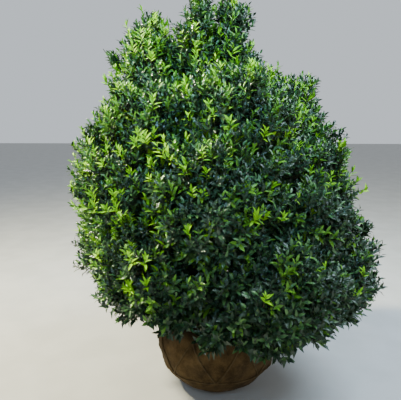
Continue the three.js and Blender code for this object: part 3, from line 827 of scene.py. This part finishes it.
def noise_node(nodes, links, scale, detail=2.0):
    place = nodes.new("ShaderNodeTexCoord")
    noise = nodes.new("ShaderNodeTexNoise")
    noise.inputs["Scale"].default_value = scale
    noise.inputs["Detail"].default_value = detail
    links.new(place.outputs["Object"], noise.inputs["Vector"])
    return noise


def paint(nodes, links, shader, noise, places, dark, light):
    """The base colour: dark where the noise is below the first place, light above the second."""
    ramp = nodes.new("ShaderNodeValToRGB")
    for element, place, colour in zip(ramp.color_ramp.elements, places, (dark, light)):
        element.position = place
        element.color = (*colour, 1)
    links.new(noise.outputs["Fac"], ramp.inputs["Fac"])
    links.new(ramp.outputs["Color"], shader.inputs["Base Color"])


def add_bump(nodes, links, shader, noise, strength, distance):
    bump = nodes.new("ShaderNodeBump")
    bump.inputs["Strength"].default_value = strength
    bump.inputs["Distance"].default_value = distance
    links.new(noise.outputs["Fac"], bump.inputs["Height"])
    links.new(bump.outputs["Normal"], shader.inputs["Normal"])


def set_gloss(shader, roughness, specular):
    shader.inputs["Roughness"].default_value = roughness
    shader.inputs["Specular IOR Level"].default_value = specular


def leaf_material(tone):
    material, nodes, links, shader = node_setup(f"leaf_{tone}")
    patches = noise_node(nodes, links, LEAF_PATCH_SCALE)
    paint(nodes, links, shader, patches, LEAF_RAMP, *TONES[tone])
    set_gloss(shader, *(OLDER_GLOSS if tone in SPRAY_TONES else YOUNG_GLOSS))
    veins = noise_node(nodes, links, LEAF_VEIN_SCALE)
    add_bump(nodes, links, shader, veins, *LEAF_BUMP)
    return material


def wood_material(name, dark, light, scale, roughness):
    material, nodes, links, shader = node_setup(name)
    grain = noise_node(nodes, links, scale, WOOD_DETAIL)
    paint(nodes, links, shader, grain, WOOD_RAMP, dark, light)
    shader.inputs["Roughness"].default_value = roughness
    add_bump(nodes, links, shader, grain, *WOOD_BUMP)
    return material


def burlap_material(name, dark, light):
    material, nodes, links, shader = node_setup(name)
    stains = noise_node(nodes, links, STAIN_SCALE, STAIN_DETAIL)
    stains.inputs["Roughness"].default_value = STAIN_ROUGHNESS
    paint(nodes, links, shader, stains, BURLAP_RAMP, dark, light)
    set_gloss(shader, *BURLAP_GLOSS)
    weave = noise_node(nodes, links, WEAVE_SCALE, WEAVE_DETAIL)
    add_bump(nodes, links, shader, weave, *WEAVE_BUMP)
    return material


def split_pieces(name, points, faces, material, slot, replaced):
    """One kind of growth as pieces of under the most triangles that a piece may have."""
    worth = faces.shape[1] - 2
    parts = math.ceil(len(faces) * worth / MOST_TRIANGLES)
    for number, share in enumerate(np.array_split(faces, parts)):
        used, places = np.unique(share, return_inverse=True)
        piece = mesh_piece(f"{name}_{number + 1}", points[used], places.reshape(share.shape), material)
        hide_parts(*replaced)


def leaf_outline(tone):
    if tone == "deep":
        return blade_template(**SHADE_BLADE)
    if tone in SPRAY_TONES:
        return oval_template(**OVAL_BLADE)
    return blade_template(**YOUNG_BLADE)


def dress_leaves(growth, foliage_nodes):
    for tone, groups in growth.leaves.items():
        roots, aim, facing, length = (np.concatenate(parts) for parts in zip(*groups))
        points, faces = blades(roots, aim, facing, length, *leaf_outline(tone))
        split_pieces(f"leaves_{tone}", points, faces, leaf_material(tone), "leaves", foliage_nodes)


def twig_tubes(curves, radii, rings, sides):
    """Points and quads of thin tubes along Bezier curves, with radii from root to tip."""
    starts, bends, ends = (np.asarray(points)[:, None, :] for points in curves)
    t = np.broadcast_to(np.linspace(0, 1, rings), (len(ends), rings))
    paths = bezier(starts, bends, ends, t)
    thickness = np.broadcast_to(np.linspace(*radii, rings)[:, None], (len(paths), rings, 1))
    return tube_points(paths, thickness, sides), tube_faces(len(paths), rings, sides)


def dress_twigs(growth, foliage_nodes, material):
    curves = [np.concatenate(parts) for parts in zip(*growth.shoots)]
    shoots = twig_tubes(curves, (SHOOT_RADIUS, SHOOT_RADIUS / 2), SHOOT_RINGS, SHOOT_SIDES)
    split_pieces("shoots", *shoots, material, "bark", foliage_nodes)
    curves = [np.array(parts) for parts in zip(*growth.twigs)]
    twigs = twig_tubes(curves, (SPRAY_TWIG_RADIUS, SHOOT_RADIUS), SPRAY_TWIG_RINGS, SPRAY_TWIG_SIDES)
    split_pieces("spray_twigs", *twigs, material, "bark", foliage_nodes)


def bark_relief(rings, sides, seed):
    """Low ridges that run up a limb, as a share of its radius."""
    rng = np.random.default_rng(seed)
    ring, side = np.meshgrid(np.arange(rings), np.arange(sides), indexing="ij")
    angle = 2 * math.pi * side / sides
    relief = np.zeros((rings, sides))
    for waves in BARK_WAVES:
        phase = rng.uniform(0, 2 * math.pi)
        drift = rng.uniform(-BARK_DRIFT, BARK_DRIFT)
        relief += np.sin(waves * angle + drift * ring + phase) / waves
    return 1 + BARK_DEPTH * (relief + BARK_GRIT * rng.normal(0, 1, relief.shape))


def limb_piece(name, path, radii, sides, seed, material, replaced):
    relief = bark_relief(len(path), sides, seed)
    points = tube_points(path[None], (radii[:, None] * relief)[None], sides)
    piece = mesh_piece(name, points, tube_faces(1, len(path), sides), material)
    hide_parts(replaced)


def dress_trunk(top, material):
    t = np.linspace(0, 1, TRUNK_RINGS)
    radii = trunk_radius(t, top[2] - BALL_TOP)
    limb_piece("trunk_bark", trunk_points(t, top), radii, TRUNK_SIDES, 1, material, "trunk")


def dress_bough(mass, bough, seed, material):
    """A bough with its stem. The middle leader grows on the trunk and has only a stem."""
    t = np.linspace(0.0, 1, BOUGH_RINGS)
    tip_radius = min(BOUGH_TIP_RADIUS, bough["root_radius"] * BOUGH_TIP_SHARE)
    entry = max(bough["entry"], LEAST_ENTRY)
    radii = np.interp(t, [0, entry, 1], [bough["root_radius"], tip_radius, STEM_END_RADIUS])
    path = bezier(*bough["curve"], t)
    kind = "foliage" if mass["name"] == TOP_MASS else "bough"
    node = f"{kind}_{mass['name']}"
    limb_piece(f"{mass['name']}_bark", path, radii, BOUGH_SIDES, seed, material, node)


def round_points(radius, angle, height):
    """Points at a radius and an angle round the upright axis."""
    return np.stack([radius * np.cos(angle), radius * np.sin(angle), height + 0 * angle], -1)


def lacing_climb(turn):
    """How far up the zigzag is after a number of legs: 0 at the girdle and 1 at its top."""
    return 1 - np.abs(turn % 2 - 1)


def lacing_distance(angle, height):
    """How far above or below the zigzag a point lies, as a share of the lacing's height."""
    climbed = (height - GIRDLE_HEIGHT) / (LACING_TOP - GIRDLE_HEIGHT)
    return np.abs(lacing_climb(angle / (2 * math.pi) * LACING_LEGS) - climbed)


def wave(angle, height, turns, rise, phase):
    return np.sin(turns * angle + rise * height + phase)


def swayed_wave(angle, height, turns, rise, sway, sway_wave):
    """A wave without its sign, whose lines wander as another wave does."""
    return np.abs(wave(angle, height, turns, rise, sway * wave(angle, height, *sway_wave)))


def ball_surface(angle, height):
    """Radius of the wrapped ball: pressed in under the twine, full between, creased near the top."""
    in_lacing = (height > GIRDLE_HEIGHT) & (height < LACING_TOP)
    pressed = np.exp(-((lacing_distance(angle, height) / LACING_PRESS_WIDTH) ** 2)) * in_lacing
    girdle = np.exp(-(((height - GIRDLE_HEIGHT) / GIRDLE_PRESS_WIDTH) ** 2))
    large, small = (
        wave(angle, height, *first) * wave(angle, height, *second)
        for first, second in (LUMP_WAVES, SMALL_LUMP_WAVES)
    )
    creases = swayed_wave(angle, height, *CREASE_WAVE, CREASE_SWAY, CREASE_SWAY_WAVE)
    folds = swayed_wave(angle, height, *FOLD_WAVE, FOLD_SWAY, FOLD_SWAY_WAVE)
    crease_share = np.clip((height - CREASE_FOOT) / CREASE_RISE, CREASE_LEAST, 1)
    change = LUMP_DEPTH * (large + SMALL_LUMP_SHARE * small) - TWINE_PRESS * (pressed + girdle)
    change = change - FOLD_DEPTH * (1 - folds) ** 3 - CREASE_DEPTH * crease_share * (1 - creases) ** 2
    return ball_radius(height) + change * np.clip(height / SMOOTH_FOOT, 0, 1)


def dress_ball(material):
    """The wrapped ball: its flat underside, its wall and a low dome on top."""
    heights = np.concatenate([np.linspace(*stretch) for stretch in BALL_RINGS])
    angles = np.arange(BALL_SIDES) * 2 * math.pi / BALL_SIDES
    height, angle = np.meshgrid(heights, angles, indexing="ij")
    wall = round_points(ball_surface(angle, height), angle, height)
    shares = np.linspace(*CAP_SHARES, CAP_RINGS)
    rings = [wall[0] * share for share in shares[::-1]]
    rings += list(wall)
    rings += [wall[-1] * [share, share, 1] + UP * TOP_DOME * (1 - share) for share in shares]
    piece = mesh_piece("burlap_ball", np.concatenate(rings), tube_faces(1, len(rings), BALL_SIDES), material)
    close_ends(piece)
    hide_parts("root_ball")


def close_ends(piece):
    """Caps the small holes that a turned mesh leaves on its axis."""
    mesh = bmesh.new()
    mesh.from_mesh(piece.data)
    bmesh.ops.holes_fill(mesh, edges=[edge for edge in mesh.edges if edge.is_boundary], sides=0)
    bmesh.ops.recalc_face_normals(mesh, faces=mesh.faces)
    mesh.to_mesh(piece.data)
    mesh.free()


def twine_points(path):
    """A strand of two twisted plies along a path."""
    ring = np.arange(len(path))[:, None]
    ply = 2 * (2 * math.pi * np.arange(TWINE_SIDES)[None] / TWINE_SIDES) + STRAND_TWIST * ring
    radii = TWINE_RADIUS * (1 + STRAND_RELIEF * np.cos(ply))
    return tube_points(path[None], radii[None], TWINE_SIDES)


def girdle_path():
    steps = int(2 * math.pi * ball_radius(GIRDLE_HEIGHT) / TWINE_STEP)
    angle = np.linspace(0, 2 * math.pi, steps)
    height = GIRDLE_HEIGHT + GIRDLE_SAG * np.sin(GIRDLE_SAGS * angle)
    return round_points(ball_surface(angle, height) + TWINE_RADIUS * GIRDLE_SEAT, angle, height)


def lacing_path():
    turn = np.linspace(0, LACING_LEGS, LACING_LEGS * LACING_STEPS)
    angle = turn * 2 * math.pi / LACING_LEGS
    height = GIRDLE_HEIGHT + lacing_climb(turn) * (LACING_TOP - GIRDLE_HEIGHT)
    return round_points(ball_surface(angle, height) + TWINE_RADIUS * LACING_SEAT, angle, height)


def dress_twine(material):
    for name, path in (("twine_girdle", girdle_path()), ("twine_lacing", lacing_path())):
        piece = mesh_piece(name, twine_points(path), tube_faces(1, len(path), TWINE_SIDES), material)
        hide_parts("ball_twine")


def dress_collar(material):
    """Burlap gathered round the foot of the trunk, in pleats that open at its rim."""
    angles = np.arange(COLLAR_SIDES) * 2 * math.pi / COLLAR_SIDES
    pleats = np.sin(PLEATS * angles + PLEAT_SWAY * np.sin(PLEAT_SWAYS * angles))
    rings = []
    for radius, height in COLLAR_OUTSIDE + COLLAR_INSIDE:
        depth = PLEAT_DEPTH * np.clip(height / PLEAT_FULL_HEIGHT, PLEAT_LEAST, 1)
        reach = radius - COLLAR_INSET + depth * pleats
        rings.append(round_points(reach, angles, BALL_TOP + COLLAR_GAP + height))
    faces = tube_faces(1, len(rings), COLLAR_SIDES)
    piece = mesh_piece("gathered_burlap", np.concatenate(rings), faces, material)
    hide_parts("burlap_collar")


def make_camera():
    camera = bpy.data.cameras.new("camera")
    camera.lens = FOCAL_PIXELS / IMAGE_WIDTH * SENSOR_WIDTH
    camera.sensor_width = SENSOR_WIDTH
    place = bpy.data.objects.new("camera", camera)
    place.location = CAMERA_PLACE
    place.rotation_euler = (math.radians(90 - CAMERA_DOWN), 0, math.radians(CAMERA_LEFT))
    bpy.context.scene.collection.objects.link(place)
    bpy.context.scene.camera = place


def area_light(name, place, aim, size, power, colour, spread=180):
    light = bpy.data.lights.new(name, "AREA")
    light.spread = math.radians(spread)
    light.shape = "DISK"
    light.size = size
    light.energy = power
    light.color = colour
    lamp = bpy.data.objects.new(name, light)
    lamp.location = place
    lamp.rotation_euler = (Vector(aim) - Vector(place)).to_track_quat("-Z", "Y").to_euler()
    bpy.context.scene.collection.objects.link(lamp)


def make_lights():
    world = bpy.data.worlds.new("studio")
    world.use_nodes = True
    even_light = world.node_tree.nodes["Background"]
    even_light.inputs["Color"].default_value = WORLD_COLOUR
    even_light.inputs["Strength"].default_value = WORLD_STRENGTH
    bpy.context.scene.world = world
    area_light("key", (-3.3, 0.2, 4.4), aim=(0, 0, 1.3), size=0.5, power=1040, colour=(1.0, 0.93, 0.64))
    area_light("sky", (2.4, -0.1, 4.8), aim=(0, 0, 1.5), size=3.0, power=490, colour=(0.66, 0.84, 1.0))
    haze_colour = (0.3, 0.62, 1.0)
    area_light("haze", (-0.5, -3.2, 3.4), aim=(0, 0, 2.1), size=1.0, power=26, colour=haze_colour, spread=52)
    area_light("fill", (2.8, -2.2, 0.9), aim=(0, 0, 0.35), size=1.6, power=11, colour=(1.0, 0.85, 0.6))


def make_floor():
    squares = dict(x_subdivisions=FLOOR_SQUARES, y_subdivisions=FLOOR_SQUARES)
    bpy.ops.mesh.primitive_grid_add(**squares, size=FLOOR_SIZE, location=(0, 0, 0))
    floor = bpy.context.object
    floor.name = "floor"
    material, nodes, links, shader = node_setup("floor")
    speckle = noise_node(nodes, links, FLOOR_SPECKLE_SCALE)
    paint(nodes, links, shader, speckle, FLOOR_RAMP, *FLOOR_COLOURS)
    shader.inputs["Roughness"].default_value = FLOOR_ROUGHNESS
    floor.data.materials.append(material)


masses = [mass for tier in TIERS for mass in tier_masses(tier)]
masses += [leader_mass(leader) for leader in LEADERS]
for mass in masses:
    mass["planes"] = cell_planes(mass, masses)
top = trunk_top(masses)
bark = wood_material("bark", dark=(0.05, 0.045, 0.036), light=(0.13, 0.12, 0.1), scale=60.0, roughness=0.85)
shoot_bark = wood_material(
    "shoot_bark", dark=(0.035, 0.04, 0.018), light=(0.085, 0.07, 0.035), scale=90.0, roughness=0.6
)
# Burlap and twine: their own golden brown, made darker as painted shade of the crown over the ball
burlap = burlap_material("burlap", dark=(0.026, 0.0155, 0.005), light=(0.09, 0.055, 0.021))
twine = burlap_material("twine", dark=(0.04, 0.026, 0.011), light=(0.095, 0.063, 0.028))

growth = Growth()
for number, mass in enumerate(masses):
    bough = bough_of(mass, top)
    dress_bough(mass, bough, number + 2, bark)
    grow_mass(mass, masses, bough, growth, np.random.default_rng(number + 1))
for number, sprig in enumerate(SPRIGS):
    grow_sprig(sprig, growth, np.random.default_rng(SPRIG_SEED + number))
foliage_nodes = [f"foliage_{mass['name']}" for mass in masses]
dress_leaves(growth, foliage_nodes)
dress_twigs(growth, foliage_nodes, shoot_bark)
dress_trunk(top, bark)
dress_ball(burlap)
dress_twine(twine)
dress_collar(burlap)
make_floor()
make_camera()
make_lights()
